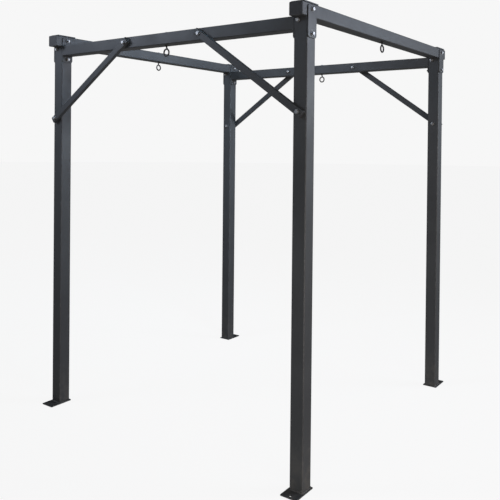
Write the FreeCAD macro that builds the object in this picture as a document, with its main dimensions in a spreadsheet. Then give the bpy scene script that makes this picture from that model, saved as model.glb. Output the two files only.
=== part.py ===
import FreeCAD, Part
import math
import os

import Sketcher
from FreeCAD import Placement, Rotation, Vector

# Four-post bolted boxing stand, in millimetres.
# X runs along the front and rear beams, Y runs from front to rear and Z is up.
# The origin is on the floor, under the middle of the stand.

DIMENSIONS = {
    # where the four posts stand, axis to axis
    "pitch_across": 1800,
    "pitch_deep": 1940,
    # posts and beams: welded square and box tube
    "post_width": 80,
    "post_top": 2406,
    "beam_height": 70,
    "tube_wall": 3,
    "tube_corner": 6,
    # front and rear beams lie on the posts and run past them
    "beam_reach": 81,
    "cap_thickness": 5,
    "cap_depth": 20,
    "cap_rounding": 2.5,
    # side beams hang between the posts, a little above the post tops
    "side_beam_rise": 8,
    # foot plates, longer on the outside of the stand
    "foot_thickness": 6,
    "foot_outer": 110,
    "foot_inner": 46,
    "foot_width": 100,
    "foot_corner": 4,
    "anchor_reach": 90,
    "anchor_radius": 7,
    # flat plates at each corner
    "plate_thickness": 6,
    "plate_corner": 15,
    "plate_margin": 21,
    "upper_bolt_rise": 40,
    "lower_bolt_drop": 84,
    "top_plate_length": 140,
    "top_plate_thickness": 6,
    "top_plate_corner": 5,
    # cross bolt through the top of each post
    "cross_bolt_drop": 14,
    "cross_bolt_shift": 16,
    # diagonal braces
    "brace_width": 40,
    "brace_depth": 25,
    "brace_wall": 2,
    "brace_corner": 4,
    "brace_reach": 665,
    "brace_drop": 452,
    "brace_margin": 26,
    "plug_thickness": 3,
    "plug_depth": 15,
    "plug_play": 0.2,
    # M12 bolts, nuts and washers
    "bolt_radius": 6,
    "bolt_hole_radius": 6.5,
    "bolt_flats": 19,
    "head_height": 7.5,
    "nut_height": 10.5,
    "bolt_tail": 6,
    "thread_play": 0.05,
    "washer_radius": 12,
    "washer_thickness": 2.5,
    # eye bolts under the middle of each beam
    "eye_drop": 67,
    "eye_ring_radius": 20,
    "eye_rod_radius": 4.75,
    "eye_shank_radius": 5,
    "eye_hole_radius": 5.1,
    "eye_collar_radius": 10,
    "eye_collar_height": 4,
    "eye_play": 0.1,
    "eye_nut_flats": 17,
    "eye_nut_height": 6,
    "eye_tail": 0.5,
}

SIDES = {"left": -1, "right": 1}
ENDS = {"front": -1, "rear": 1}

X_AXIS = Vector(1, 0, 0)
Y_AXIS = Vector(0, 1, 0)
Z_AXIS = Vector(0, 0, 1)
UPRIGHT = Rotation()
Z_TO_MINUS_X = Rotation(Y_AXIS, -90)
Z_TO_PLUS_X = Rotation(Y_AXIS, 90)
Z_TO_PLUS_Y = Rotation(X_AXIS, -90)

doc = FreeCAD.newDocument("boxing_stand")
sheet = doc.addObject("Spreadsheet::Sheet", "size")
nodes = []


# ---- dimensions, formulas and placements ----

def fill_sheet():
    """Writes each driving dimension in a row of its own: name, value and alias."""
    for row, (name, number) in enumerate(DIMENSIONS.items(), start=1):
        sheet.set(f"A{row}", name)
        sheet.set(f"B{row}", str(number))
        sheet.setAlias(f"B{row}", name)
    doc.recompute()


def value(formula):
    """Works out a formula of sheet names, such as size.post_width / 2."""
    result = sheet.evalExpression(formula)
    return float(getattr(result, "Value", result))


def bind(item, **formulas):
    """Binds each named property of an object to its formula."""
    for name, formula in formulas.items():
        item.setExpression(name, formula)


def place(item, x="0", y="0", z="0", rotation=UPRIGHT):
    """Sets an object's rotation and binds its position to three formulas."""
    item.Placement = Placement(Vector(), rotation)
    for axis, formula in zip("xyz", (x, y, z)):
        item.setExpression(f".Placement.Base.{axis}", formula)


def signed(sign, formula):
    """The formula on the side of the stand that the sign names."""
    return f"{sign} * ({formula})"


def keep(item, label):
    """Labels an object as a sub-part and adds it to the list that is exported."""
    item.Label = label
    nodes.append(item)
    return item


# ---- sketches ----

def new_sketch(body, name, role):
    """A sketch on one of the body's own origin planes."""
    plane = next(item for item in body.Origin.OriginFeatures if item.Role == role)
    sketch = body.newObject("Sketcher::SketchObject", name)
    sketch.AttachmentSupport = [(plane, "")]
    sketch.MapMode = "FlatFace"
    return sketch


def constrain(sketch, name, formula, *arguments):
    """Adds a dimension to a sketch and binds it to a formula."""
    index = sketch.addConstraint(Sketcher.Constraint(*arguments, value(formula)))
    sketch.renameConstraint(index, name)
    sketch.setExpression(f"Constraints.{name}", formula)


def draw_rounded_rectangle(sketch, prefix, width, height, corner):
    """A rectangle with round corners, centred on the sketch's origin."""
    half_width = value(width) / 2
    half_height = value(height) / 2
    radius = value(corner)
    first = sketch.GeometryCount
    turns = ((1, 1), (-1, 1), (-1, -1), (1, -1))
    centres = [Vector(a * (half_width - radius), b * (half_height - radius), 0) for a, b in turns]
    for turn, centre in enumerate(centres):
        start = turn * math.pi / 2
        circle = Part.Circle(centre, Z_AXIS, radius)
        sketch.addGeometry(Part.ArcOfCircle(circle, start, start + math.pi / 2))
        after = centres[(turn + 1) % 4]
        outward = Vector(math.cos(start + math.pi / 2), math.sin(start + math.pi / 2), 0) * radius
        sketch.addGeometry(Part.LineSegment(centre + outward, after + outward))
    arcs = [first + 2 * turn for turn in range(4)]
    lines = [first + 2 * turn + 1 for turn in range(4)]
    for turn in range(4):
        sketch.addConstraint(Sketcher.Constraint("Tangent", arcs[turn], 2, lines[turn], 1))
        sketch.addConstraint(Sketcher.Constraint("Tangent", lines[turn], 2, arcs[(turn + 1) % 4], 1))
    top, left, bottom, right = lines
    for line in (top, bottom):
        sketch.addConstraint(Sketcher.Constraint("Horizontal", line))
    for line in (left, right):
        sketch.addConstraint(Sketcher.Constraint("Vertical", line))
    for arc in arcs[1:]:
        sketch.addConstraint(Sketcher.Constraint("Equal", arcs[0], arc))
    sketch.addConstraint(Sketcher.Constraint("Symmetric", top, 1, bottom, 1, -1, 1))
    constrain(sketch, prefix + "corner", corner, "Radius", arcs[0])
    constrain(sketch, prefix + "width", width, "DistanceX", left, 1, right, 1)
    constrain(sketch, prefix + "height", height, "DistanceY", bottom, 1, top, 1)


def draw_circle(sketch, name, x, y, radius):
    """A circle centred at two formulas; None puts the centre on that axis of the sketch."""
    centre = Vector(value(x) if x else 0, value(y) if y else 0, 0)
    circle = sketch.addGeometry(Part.Circle(centre, Z_AXIS, value(radius)))
    constrain(sketch, name + "_radius", radius, "Radius", circle)
    if x:
        constrain(sketch, name + "_x", x, "DistanceX", -1, 1, circle, 3)
    else:
        sketch.addConstraint(Sketcher.Constraint("PointOnObject", circle, 3, -2))
    if y:
        constrain(sketch, name + "_y", y, "DistanceY", -1, 1, circle, 3)
    else:
        sketch.addConstraint(Sketcher.Constraint("PointOnObject", circle, 3, -1))


# ---- features of a body ----

def new_body(name):
    """An empty body; its features are added in order."""
    return doc.addObject("PartDesign::Body", name)


def pad(body, sketch, length, reversed_pad=False):
    """Pads a sketch by a formula."""
    feature = body.newObject("PartDesign::Pad", "pad")
    feature.Profile = sketch
    feature.Reversed = reversed_pad
    bind(feature, Length=length)
    sketch.Visibility = False
    doc.recompute()
    return feature


def drill(body, name, role, circles):
    """Drills round holes right through a body, both ways from one of its origin planes."""
    before = body.Shape.Volume
    sketch = new_sketch(body, name, role)
    for number, (x, y, radius) in enumerate(circles):
        draw_circle(sketch, f"hole{number}", x, y, radius)
    pocket = body.newObject("PartDesign::Pocket", name + "_pocket")
    pocket.Profile = sketch
    pocket.Type = "ThroughAll"
    pocket.SideType = "Symmetric"
    doc.recompute()
    if body.Shape.Volume >= before - 1:
        raise RuntimeError(f"{body.Name}: {name} removed nothing")


def round_edges(body, feature, radius, chosen):
    """Fillets the edges of a feature that pass the test."""
    names = [f"Edge{number}" for number, edge in enumerate(feature.Shape.Edges, start=1) if chosen(edge)]
    fillet = body.newObject("PartDesign::Fillet", "rounding")
    fillet.Base = (feature, names)
    bind(fillet, Radius=radius)
    doc.recompute()
    return fillet


def tube(name, wide, deep, wall, corner, length):
    """A box tube: wide along its own X, deep along its own Y and running up its own Z."""
    body = new_body(name)
    section = new_sketch(body, "section", "XY_Plane")
    draw_rounded_rectangle(section, "outer_", wide, deep, corner)
    draw_rounded_rectangle(section, "inner_", f"{wide} - 2 * {wall}", f"{deep} - 2 * {wall}",
                           f"{corner} - {wall}")
    pad(body, section, length)
    return body


# ---- posts and feet ----

def make_post(end, side):
    """A square post, standing on its foot plate."""
    body = tube(f"post_{end}_{side}", "size.post_width", "size.post_width", "size.tube_wall",
                "size.tube_corner", "size.post_top - size.foot_thickness")
    foot = "size.foot_thickness"
    drill(body, "plate_bolt_hole", "XZ_Plane",
          [(None, f"size.post_top - size.lower_bolt_drop - {foot}", "size.bolt_hole_radius")])
    drill(body, "side_bolt_holes", "YZ_Plane",
          [("size.cross_bolt_shift", f"size.post_top - size.cross_bolt_drop - {foot}",
            "size.bolt_hole_radius"),
           (None, f"{LOWER_BRACE_BOLT} - {foot}", "size.bolt_hole_radius")])
    place(body, signed(SIDES[side], "size.pitch_across / 2"), signed(ENDS[end], "size.pitch_deep / 2"),
          foot)
    return keep(body, f"post_{end}_{side}")


def make_foot(end, side):
    """A foot plate with one anchor hole, on the outside of the post."""
    body = new_body(f"foot_plate_{end}_{side}")
    outline = new_sketch(body, "outline", "XY_Plane")
    draw_rounded_rectangle(outline, "", "size.foot_outer + size.foot_inner", "size.foot_width",
                           "size.foot_corner")
    pad(body, outline, "size.foot_thickness")
    middle = "(size.foot_outer - size.foot_inner) / 2"
    drill(body, "anchor_hole", "XY_Plane",
          [(f"size.anchor_reach - {middle}", None, "size.anchor_radius")])
    outward = UPRIGHT if side == "right" else Rotation(Z_AXIS, 180)
    place(body, signed(SIDES[side], f"size.pitch_across / 2 + {middle}"),
          signed(ENDS[end], "size.pitch_deep / 2"), rotation=outward)
    return keep(body, f"foot_plate_{end}_{side}")


# ---- beams, caps and plates ----

def make_cross_beam(end):
    """The front or rear beam, lying on two posts."""
    length = "size.pitch_across + 2 * size.beam_reach"
    body = tube(f"{end}_beam", "size.beam_height", "size.post_width", "size.tube_wall",
                "size.tube_corner", length)
    offset = "size.upper_bolt_rise - size.beam_height / 2"
    drill(body, "plate_bolt_holes", "XZ_Plane",
          [(offset, "size.beam_reach", "size.bolt_hole_radius"),
           (offset, "size.beam_reach + size.pitch_across", "size.bolt_hole_radius")])
    drill(body, "eye_hole", "YZ_Plane", [(None, f"({length}) / 2", "size.eye_hole_radius")])
    place(body, f"({length}) / 2", signed(ENDS[end], "size.pitch_deep / 2"),
          "size.post_top + size.beam_height / 2", Z_TO_MINUS_X)
    return keep(body, f"{end}_beam")


def make_side_beam(side):
    """The left or right beam, hanging between the end plates of two corners."""
    inset = "(size.post_width / 2 + size.plate_thickness)"
    length = f"size.pitch_deep - 2 * {inset}"
    body = tube(f"{side}_beam", "size.post_width", "size.beam_height", "size.tube_wall",
                "size.tube_corner", length)
    near = f"size.brace_reach - {inset}"
    drill(body, "brace_bolt_holes", "YZ_Plane",
          [(None, near, "size.bolt_hole_radius"),
           (None, f"{length} - ({near})", "size.bolt_hole_radius")])
    drill(body, "eye_hole", "XZ_Plane", [(None, f"({length}) / 2", "size.eye_hole_radius")])
    place(body, signed(SIDES[side], "size.pitch_across / 2"), f"-({length}) / 2", SIDE_BEAM_MIDDLE,
          Z_TO_PLUS_Y)
    return keep(body, f"{side}_beam")


def make_end_cap(end, side):
    """A moulded cap: a rounded cover with a hollow plug that presses into the beam."""
    body = new_body(f"{end}_beam_cap_{side}")
    cover = new_sketch(body, "cover", "XY_Plane")
    draw_rounded_rectangle(cover, "", "size.beam_height", "size.post_width", "size.tube_corner")
    feature = pad(body, cover, "size.cap_thickness")
    face = value("size.cap_thickness")
    round_edges(body, feature, "size.cap_rounding",
                lambda edge: all(abs(vertex.Z - face) < 1e-6 for vertex in edge.Vertexes))
    plug = new_sketch(body, "plug", "XY_Plane")
    inside = "2 * (size.tube_wall + size.plug_play)"
    skin = "2 * size.tube_wall"
    inner_corner = "size.tube_corner - size.tube_wall"
    draw_rounded_rectangle(plug, "outer_", f"size.beam_height - {inside}", f"size.post_width - {inside}",
                           inner_corner)
    draw_rounded_rectangle(plug, "inner_", f"size.beam_height - {inside} - {skin}",
                           f"size.post_width - {inside} - {skin}", f"({inner_corner}) / 2")
    pad(body, plug, "size.cap_depth", reversed_pad=True)
    turn = Z_TO_PLUS_X if side == "right" else Z_TO_MINUS_X
    place(body, signed(SIDES[side], "size.pitch_across / 2 + size.beam_reach"),
          signed(ENDS[end], "size.pitch_deep / 2"), "size.post_top + size.beam_height / 2", turn)
    return keep(body, f"{end}_beam_cap_{side}")


def make_corner_plate(label, end, side, y):
    """A bolted plate with round corners that ties a beam to its post."""
    body = new_body(label)
    outline = new_sketch(body, "outline", "XY_Plane")
    spacing = "(size.upper_bolt_rise + size.lower_bolt_drop)"
    draw_rounded_rectangle(outline, "", "size.post_width", f"{spacing} + 2 * size.plate_margin",
                           "size.plate_corner")
    pad(body, outline, "size.plate_thickness")
    drill(body, "bolt_holes", "XY_Plane",
          [(None, f"{spacing} / 2", "size.bolt_hole_radius"),
           (None, f"-{spacing} / 2", "size.bolt_hole_radius")])
    # the plate's own Z points to -Y, so its back face is at y and its front face is nearer the front
    place(body, signed(SIDES[side], "size.pitch_across / 2"), signed(ENDS[end], y),
          "size.post_top + (size.upper_bolt_rise - size.lower_bolt_drop) / 2", Rotation(X_AXIS, 90))
    return keep(body, label)


def make_plates(end, side):
    """The outer plate and the side beam's end plate of one corner."""
    outside = "size.pitch_deep / 2 + size.post_width / 2"
    inside = "size.pitch_deep / 2 - size.post_width / 2"
    far_outside = f"{outside} + size.plate_thickness"
    far_inside = f"{inside} - size.plate_thickness"
    front = end == "front"
    make_corner_plate(f"outer_clamp_plate_{end}_{side}", end, side, outside if front else far_outside)
    make_corner_plate(f"beam_end_plate_{end}_{side}", end, side, far_inside if front else inside)


def make_top_plate(end, side):
    """A plate on top of the cross beam, over the post."""
    body = new_body(f"corner_top_plate_{end}_{side}")
    outline = new_sketch(body, "outline", "XY_Plane")
    draw_rounded_rectangle(outline, "", "size.top_plate_length", "size.post_width",
                           "size.top_plate_corner")
    pad(body, outline, "size.top_plate_thickness")
    place(body, signed(SIDES[side], "size.pitch_across / 2"), signed(ENDS[end], "size.pitch_deep / 2"),
          "size.post_top + size.beam_height")
    return keep(body, f"corner_top_plate_{end}_{side}")


# ---- braces ----

def brace_turn(end):
    """Turns a tube's own Z to the slope of a brace that starts at this end's posts."""
    from_upright = math.degrees(math.atan2(value("size.brace_reach"), value("size.brace_drop")))
    return Rotation(X_AXIS, ENDS[end] * from_upright)


def place_on_brace(item, end, side, along, turn):
    """Places an object on a brace's axis, at a distance up the slope from its lower bolt."""
    slope = "sqrt(size.brace_reach ^ 2 + size.brace_drop ^ 2)"
    place(item, signed(SIDES[side], "(size.pitch_across + size.post_width + size.brace_depth) / 2"),
          signed(ENDS[end], f"size.pitch_deep / 2 - ({along}) * size.brace_reach / {slope}"),
          f"{LOWER_BRACE_BOLT} + ({along}) * size.brace_drop / {slope}", turn)


def make_brace(end, side):
    """A diagonal from the outside of a post to the outside of its side beam."""
    body = tube(f"brace_{side}_{end}", "size.brace_depth", "size.brace_width", "size.brace_wall",
                "size.brace_corner", f"{BRACE_SPAN} + 2 * size.brace_margin")
    drill(body, "bolt_holes", "YZ_Plane",
          [(None, "size.brace_margin", "size.bolt_hole_radius"),
           (None, f"{BRACE_SPAN} + size.brace_margin", "size.bolt_hole_radius")])
    place_on_brace(body, end, side, "-size.brace_margin", brace_turn(end))
    return keep(body, f"brace_{side}_{end}")


def make_brace_plug(name, along, turn):
    """A moulded plug in one end of the front left brace."""
    body = new_body(name)
    cover = new_sketch(body, "cover", "XY_Plane")
    draw_rounded_rectangle(cover, "", "size.brace_depth", "size.brace_width", "size.brace_corner")
    pad(body, cover, "size.plug_thickness")
    stem = new_sketch(body, "stem", "XY_Plane")
    inside = "2 * (size.brace_wall + size.plug_play)"
    draw_rounded_rectangle(stem, "", f"size.brace_depth - {inside}", f"size.brace_width - {inside}",
                           "size.brace_corner - size.brace_wall")
    pad(body, stem, "size.plug_depth", reversed_pad=True)
    place_on_brace(body, "front", "left", along, turn)
    return body


# ---- fasteners ----

def cylinder(radius, height, z="0"):
    """A cylinder up its own Z."""
    item = doc.addObject("Part::Cylinder", "cylinder")
    bind(item, Radius=radius, Height=height)
    place(item, z=z)
    return item


def hexagon(flats, height, z="0", face_up=True):
    """A hexagon with its corners turned off at 30 degrees on one face."""
    prism = doc.addObject("Part::Prism", "prism")
    prism.Polygon = 6
    bind(prism, Circumradius=f"{flats} / sqrt(3)", Height=height)
    blank = doc.addObject("Part::Cone", "blank")
    narrow = f"{flats} / 2 * 0.95"
    wide = f"{narrow} + {height} * sqrt(3)"
    bind(blank, Radius1=wide if face_up else narrow, Radius2=narrow if face_up else wide, Height=height)
    item = doc.addObject("Part::Common", "hexagon")
    item.Base = prism
    item.Tool = blank
    place(item, z=z)
    return item


def fuse(name, members):
    """One solid from several that overlap."""
    item = doc.addObject("Part::MultiFuse", name)
    item.Shapes = members
    return item


def bore(name, outside, radius, height):
    """A solid with a round hole up its axis."""
    item = doc.addObject("Part::Cut", name)
    item.Base = outside
    item.Tool = cylinder(radius, f"{height} + 2", "-1")
    return item


def fastener_set(grip, x, y, z, rotation):
    """A bolt, its nut and two washers through a grip, with the head's washer at the position."""
    thick = "size.washer_thickness"
    head = hexagon("size.bolt_flats", "size.head_height", f"-{thick} - size.head_height", face_up=False)
    shank = cylinder("size.bolt_radius",
                     f"{grip} + 2 * {thick} + size.nut_height + size.bolt_tail", f"-{thick}")
    bolt = fuse("bolt", [head, shank])
    nut = bore("nut", hexagon("size.bolt_flats", "size.nut_height"),
               "size.bolt_radius + size.thread_play", "size.nut_height")
    washers = [bore("washer", cylinder("size.washer_radius", thick), "size.bolt_hole_radius", thick)
               for _ in range(2)]
    items = {"bolt": [bolt], "nut": [nut], "washer": washers}
    starts = {bolt: "0", nut: f"{grip} + {thick}", washers[0]: f"-{thick}", washers[1]: grip}
    inward = rotation.multVec(Z_AXIS)
    for item, start in starts.items():
        place(item, f"{x} + {inward.x:.0f} * ({start})", f"{y} + {inward.y:.0f} * ({start})", z, rotation)
    return items


def mirror(item, normal):
    """The mirror image of an object across a plane through the origin."""
    image = doc.addObject("Part::Mirroring", "image")
    image.Source = item
    image.Normal = normal
    return image


def to_both_sides(items):
    """Each object and its image on the other side of the stand."""
    return items + [mirror(item, X_AXIS) for item in items]


def to_all_corners(items):
    """Each object and its images at the other three corners."""
    both = to_both_sides(items)
    return both + [mirror(item, Y_AXIS) for item in both]


def group(label, members):
    """One sub-part that holds identical pieces as separate solids."""
    item = doc.addObject("Part::Compound", label)
    item.Links = members
    return keep(item, label)


def make_plate_fasteners():
    """Two bolts through the plates of each corner: one in the beam and one in the post."""
    grip = "size.post_width + 2 * size.plate_thickness"
    x = "-size.pitch_across / 2"
    y = f"-size.pitch_deep / 2 - ({grip}) / 2"
    heights = ("size.post_top + size.upper_bolt_rise", "size.post_top - size.lower_bolt_drop")
    sets = [fastener_set(grip, x, y, z, Z_TO_PLUS_Y) for z in heights]
    group("plate_bolts", to_all_corners([item for each in sets for item in each["bolt"]]))
    group("plate_bolt_nuts", to_all_corners([item for each in sets for item in each["nut"]]))
    group("plate_bolt_washers", to_all_corners([item for each in sets for item in each["washer"]]))


def make_brace_fasteners():
    """One bolt through each end of each brace."""
    grip = "size.brace_depth + size.post_width"
    x = "-size.pitch_across / 2 - size.post_width / 2 - size.brace_depth"
    lower = ("-size.pitch_deep / 2", LOWER_BRACE_BOLT)
    upper = ("-size.pitch_deep / 2 + size.brace_reach", SIDE_BEAM_MIDDLE)
    sets = [fastener_set(grip, x, y, z, Z_TO_PLUS_X) for y, z in (lower, upper)]
    group("brace_bolts", to_all_corners([item for each in sets for item in each["bolt"]]))
    group("brace_bolt_nuts", to_all_corners([item for each in sets for item in each["nut"]]))
    group("brace_bolt_washers", to_all_corners([item for each in sets for item in each["washer"]]))


def make_cross_fasteners():
    """One bolt across the top of each post, off its axis by the same way on every post."""
    x = "-size.pitch_across / 2 - size.post_width / 2"
    z = "size.post_top - size.cross_bolt_drop"
    sets = [fastener_set("size.post_width", x, f"{sign} * size.pitch_deep / 2 + size.cross_bolt_shift", z,
                         Z_TO_PLUS_X) for sign in ENDS.values()]
    group("cross_bolts", to_both_sides([item for each in sets for item in each["bolt"]]))
    group("cross_bolt_nuts", to_both_sides([item for each in sets for item in each["nut"]]))
    group("cross_bolt_washers", to_both_sides([item for each in sets for item in each["washer"]]))


def make_brace_plugs():
    """The plugs in both ends of every brace."""
    up = brace_turn("front")
    down = up.multiply(Rotation(X_AXIS, 180))
    plugs = [make_brace_plug("lower_plug", "-size.brace_margin", down),
             make_brace_plug("upper_plug", f"{BRACE_SPAN} + size.brace_margin", up)]
    group("brace_end_plugs", to_all_corners(plugs))


# ---- eye bolts ----

def make_eye_bolt(label, x, y, z, turn):
    """A bent-rod eye with a collar and a shank, from the underside of a beam at the position."""
    rod = "size.eye_rod_radius"
    ring = "size.eye_ring_radius"
    ring_z = f"-(size.eye_drop - {ring} - {rod})"
    apex_z = f"{ring_z} + {ring} * sqrt(2)"
    bend = doc.addObject("Part::Torus", "bend")
    bend.Angle3 = 270
    bind(bend, Radius1=ring, Radius2=rod)
    place(bend, z=ring_z, rotation=Rotation(X_AXIS, 90).multiply(Rotation(Z_AXIS, 135)))
    members = [bend]
    for sign in (-1, 1):
        leg = cylinder(rod, ring)
        place(leg, x=f"{sign} * {ring} / sqrt(2)", z=f"{ring_z} + {ring} / sqrt(2)",
              rotation=Rotation(Y_AXIS, -45 * sign))
        members.append(leg)
    knuckle = doc.addObject("Part::Sphere", "knuckle")
    bind(knuckle, Radius="size.eye_shank_radius")
    place(knuckle, z=apex_z)
    top = "size.beam_height + size.washer_thickness + size.eye_play + size.eye_nut_height + size.eye_tail"
    shank = cylinder("size.eye_shank_radius", f"{top} - ({apex_z})", apex_z)
    collar = cylinder("size.eye_collar_radius", "size.eye_collar_height",
                      "-size.eye_play - size.eye_collar_height")
    eye = fuse(label, members + [knuckle, shank, collar])
    place(eye, x, y, z, turn)
    keep(eye, label)


def make_eye_set(name, x, y, underside, turn):
    """An eye bolt, its lock nut, and the washer on top of the beam, which is returned."""
    make_eye_bolt(f"eye_bolt_{name}", x, y, underside, turn)
    top = f"{underside} + size.beam_height"
    nut = bore(f"eye_nut_{name}", hexagon("size.eye_nut_flats", "size.eye_nut_height"),
               "size.eye_shank_radius + size.thread_play", "size.eye_nut_height")
    place(nut, x, y, f"{top} + size.washer_thickness + size.eye_play", turn)
    keep(nut, f"eye_nut_{name}")
    washer = bore("eye_washer", cylinder("size.washer_radius", "size.washer_thickness"),
                  "size.eye_hole_radius", "size.washer_thickness")
    place(washer, x, y, top)
    return washer


def make_eyes():
    """One eye bolt at the middle of each beam, its ring in line with the beam."""
    washers = []
    for end, sign in ENDS.items():
        washers.append(make_eye_set(end, "0", signed(sign, "size.pitch_deep / 2"), "size.post_top",
                                    UPRIGHT))
    for side, sign in SIDES.items():
        underside = f"{SIDE_BEAM_MIDDLE} - size.beam_height / 2"
        washers.append(make_eye_set(side, signed(sign, "size.pitch_across / 2"), "0", underside,
                                    Rotation(Z_AXIS, 90)))
    group("eye_washers", washers)


# ---- the whole stand ----

SIDE_BEAM_MIDDLE = "size.post_top + size.side_beam_rise - size.beam_height / 2"
LOWER_BRACE_BOLT = f"{SIDE_BEAM_MIDDLE} - size.brace_drop"
BRACE_SPAN = "sqrt(size.brace_reach ^ 2 + size.brace_drop ^ 2)"


def build():
    """Makes every sub-part."""
    fill_sheet()
    for end in ENDS:
        make_cross_beam(end)
        for side in SIDES:
            make_post(end, side)
            make_foot(end, side)
            make_end_cap(end, side)
            make_plates(end, side)
            make_top_plate(end, side)
            make_brace(end, side)
    for side in SIDES:
        make_side_beam(side)
    make_brace_plugs()
    make_plate_fasteners()
    make_brace_fasteners()
    make_cross_fasteners()
    make_eyes()
    doc.recompute()


def check():
    """Stops if any object failed or any sub-part has no valid shape."""
    for item in doc.Objects:
        if {"Invalid", "Error"} & set(item.State):
            raise RuntimeError(f"{item.Label} failed: {item.State}")
    for item in nodes:
        if item.Shape.isNull() or not item.Shape.isValid():
            raise RuntimeError(f"{item.Label} has no valid shape")


def export():
    """Writes one STEP file for each sub-part."""
    os.makedirs("parts", exist_ok=True)
    for item in nodes:
        item.Shape.exportStep(f"parts/{item.Label}.step")


build()
check()
export()
whole = Part.makeCompound([item.Shape for item in nodes]).BoundBox
print(f"{len(nodes)} sub-parts, {whole.XLength:.1f} x {whole.YLength:.1f} x {whole.ZLength:.1f} mm")
print(f"X {whole.XMin:.1f} to {whole.XMax:.1f}, Y {whole.YMin:.1f} to {whole.YMax:.1f}, "
      f"Z {whole.ZMin:.1f} to {whole.ZMax:.1f}")
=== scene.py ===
import math

import bmesh
import bpy
from mathutils import Matrix, Vector


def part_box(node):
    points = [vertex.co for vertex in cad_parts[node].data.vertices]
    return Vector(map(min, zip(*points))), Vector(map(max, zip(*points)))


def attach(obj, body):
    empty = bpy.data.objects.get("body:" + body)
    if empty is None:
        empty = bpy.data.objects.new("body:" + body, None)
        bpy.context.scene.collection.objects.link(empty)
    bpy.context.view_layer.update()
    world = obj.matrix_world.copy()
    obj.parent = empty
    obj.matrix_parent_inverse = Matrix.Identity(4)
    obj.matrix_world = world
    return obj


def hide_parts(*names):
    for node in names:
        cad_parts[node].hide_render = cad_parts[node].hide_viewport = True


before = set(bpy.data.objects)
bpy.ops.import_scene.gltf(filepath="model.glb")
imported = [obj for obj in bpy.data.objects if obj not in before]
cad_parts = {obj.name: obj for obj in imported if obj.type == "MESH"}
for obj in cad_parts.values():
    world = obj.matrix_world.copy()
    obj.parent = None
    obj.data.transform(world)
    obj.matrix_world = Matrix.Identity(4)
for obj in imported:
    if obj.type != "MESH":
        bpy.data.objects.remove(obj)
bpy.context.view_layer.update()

# Sizes in metres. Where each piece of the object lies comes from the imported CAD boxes.
TUBE_CORNER = 0.006
TUBE_WALL = 0.003
BURR = 0.0004
PLATE_CORNER = 0.015
TOP_PLATE_CORNER = 0.005
FOOT_CORNER = 0.004
PLATE_ROUNDING = 0.0009
PLATE_HOLE = 0.0065
PLATE_HOLE_SPACING = 0.124
ANCHOR_HOLE = 0.007
ANCHOR_INSET = 0.020
CAP_THICKNESS = 0.005
CAP_ROUNDING = 0.0025
CAP_GAP = 0.0032
CAP_SKIN = 0.003
BRACE_WIDTH = 0.040
BRACE_CORNER = 0.004
BRACE_WALL = 0.002
PLUG_THICKNESS = 0.003
PLUG_DEPTH = 0.015
PLUG_ROUNDING = 0.0012
HEAD_FLATS = 0.019
HEAD_HEIGHT = 0.0075
HEAD_FOOT = 0.0005
NUT_SINK = 0.0006
TURNED_OFF = 0.95
SHANK = 0.006
SHANK_PLAY = 0.00005
THREAD_PITCH = 0.00175
THREAD_DEPTH = 0.0008
THREADED = 0.010
THREAD_STEPS = 28
THREAD_RINGS = 6
EYE_RING = 0.020
EYE_ROD = 0.00475
EYE_SHANK = 0.005
EYE_COLLAR = 0.010
EYE_PLAY = 0.0001
EYE_THREADED = 0.016
EYE_THREAD_PITCH = 0.0015
EYE_NUT_FLATS = 0.017
EYE_NUT_NECK = 0.0076
EYE_NUT_MOUTH = 0.0063
FOOT_WELD = 0.005
END_PLATE_WELD = 0.005
TOP_PLATE_WELD = 0.004
WELD_RIPPLE = 0.0028
WELD_STEP = 0.0007
WELD_ROOT = 0.0006

ENDS = ("front", "rear")
SIDES = ("left", "right")
CORNERS = [(end, side) for end in ENDS for side in SIDES]
AXES = {"X": Vector((1, 0, 0)), "Y": Vector((0, 1, 0)), "Z": Vector((0, 0, 1))}
SHARP_ANGLE = math.radians(32)
ROUND_STEPS = 6
RIM_STEPS = 3
CIRCLE_STEPS = 48
BEND_STEPS = 14
RING_STEPS = 60
ROD_END = 0.82


# ---- materials ----

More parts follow.
